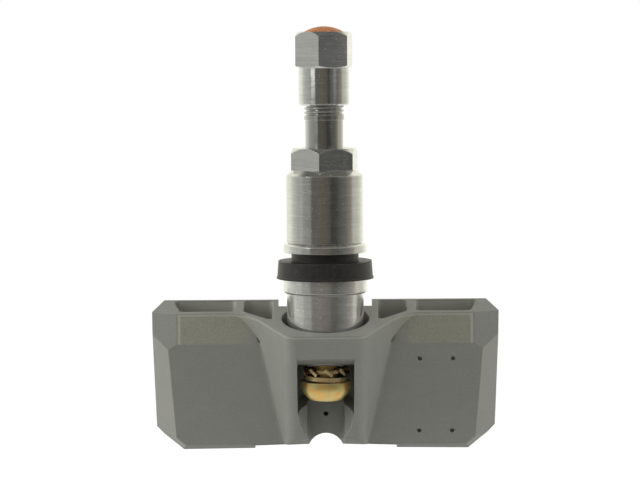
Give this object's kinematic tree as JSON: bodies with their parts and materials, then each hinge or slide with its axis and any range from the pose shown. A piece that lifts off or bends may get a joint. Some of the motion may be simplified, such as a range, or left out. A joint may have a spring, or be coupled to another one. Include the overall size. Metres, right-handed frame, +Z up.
{
  "type": "tyre pressure sensor",
  "caption": "Clamp-in tyre pressure sensor: aluminium valve stem with collar nut, cap and rubber grommet on a grey winged plastic housing, held by a screw under the stem.",
  "frame": {"origin": "on the valve stem's axis, in the plane of the grommet's face that seats against the inside of the rim", "axes": "+Z up the valve stem to its cap, +X along the long side of the housing, +Y to the housing's welded rear cover; the screw's window faces -Y"},
  "size_m": [0.0678, 0.028, 0.0833],
  "materials": {
    "stem_aluminium": "turned bare aluminium",
    "nut_aluminium": "fine turned aluminium",
    "washer_aluminium": "turned aluminium",
    "cap_aluminium": "bright milled aluminium",
    "copper_plug": "rough copper-coloured plug",
    "grommet_rubber": "moulded black rubber",
    "core_brass": "turned brass",
    "core_rubber": "red moulded seal",
    "pin_brass": "turned brass",
    "spring_steel": "drawn spring wire",
    "cap_rubber": "moulded black rubber",
    "yellow_zinc": "yellow passivated zinc plate",
    "yellow_zinc_screw": "yellow passivated zinc plate",
    "housing_plastic": "fine-grained glass-filled plastic",
    "cover_plastic": "fine-grained glass-filled plastic",
    "board_laminate": "green solder mask",
    "battery_steel": "bright drawn steel can",
    "tab_nickel": "nickel strip",
    "chip_black": "moulded black package",
    "crystal_can": "plated metal can",
    "coil_copper": "enamelled copper wire",
    "strip_copper": "tinned copper strip"
  },
  "bodies": {
    "stem": {"valve_stem": "stem_aluminium", "grommet": "grommet_rubber", "core_body": "core_brass", "core_seal": "core_rubber", "core_spring": "spring_steel"},
    "core_pin": {"core_pin": "pin_brass"},
    "washer": {"washer": "washer_aluminium"},
    "nut": {"nut": "nut_aluminium"},
    "cap_seal": {"cap_seal": "cap_rubber"},
    "cap": {"cap": "cap_aluminium", "cap_insert": "copper_plug"},
    "screw_washers": {"tooth_washer": "yellow_zinc", "spring_washer": "yellow_zinc"},
    "mounting_screw": {"mounting_screw": "yellow_zinc_screw"},
    "housing": {"housing": "housing_plastic", "rear_cover": "cover_plastic", "circuit_board": "board_laminate", "coin_battery": "battery_steel", "battery_tab_positive": "tab_nickel", "battery_tab_negative": "tab_nickel", "pressure_sensor_chip": "chip_black", "controller_chip": "chip_black", "crystal": "crystal_can", "wake_coil": "coil_copper", "antenna_loop": "strip_copper"}
  },
  "joints": [
    {"name": "housing_tilt", "type": "hinge", "parent": "stem", "child": "housing", "pos_m": [0, 0, -0.008], "axis": [1, 0, 0], "range_deg": [-3, 3]},
    {"name": "washer_slide", "type": "slide", "parent": "stem", "child": "washer", "axis": [0, 0, 1], "range_m": [0, 0.0075]},
    {"name": "nut_turn", "type": "hinge", "parent": "washer", "child": "nut", "pos_m": [0, 0, 0.01], "axis": [0, 0, 1], "range_deg": [0, 2701]},
    {"name": "cap_seal_slide", "type": "slide", "parent": "stem", "child": "cap_seal", "axis": [0, 0, 1], "range_m": [0, 0.00794]},
    {"name": "cap_turn", "type": "hinge", "parent": "cap_seal", "child": "cap", "pos_m": [0, 0, 0.035], "axis": [0, 0, 1], "range_deg": [0, 3601]},
    {"name": "screw_washers_slide", "type": "slide", "parent": "stem", "child": "screw_washers", "axis": [0, 0, -1], "range_m": [0, 0.004]},
    {"name": "screw_turn", "type": "hinge", "parent": "screw_washers", "child": "mounting_screw", "pos_m": [0, 0, -0.024], "axis": [0, 0, -1], "range_deg": [0, 1801]},
    {"name": "core_pin_press", "type": "slide", "parent": "stem", "child": "core_pin", "axis": [0, 0, -1], "range_m": [0, 0.0012], "stiffness_N_per_m": 800, "deforming": ["core_spring"]}
  ],
  "couplings": [
    {"joint": "nut_turn", "follows": "washer_slide", "rad_per_m": 6283.2},
    {"joint": "cap_turn", "follows": "cap_seal_slide", "rad_per_m": 7913.3},
    {"joint": "screw_turn", "follows": "screw_washers_slide", "rad_per_m": 7854}
  ]
}
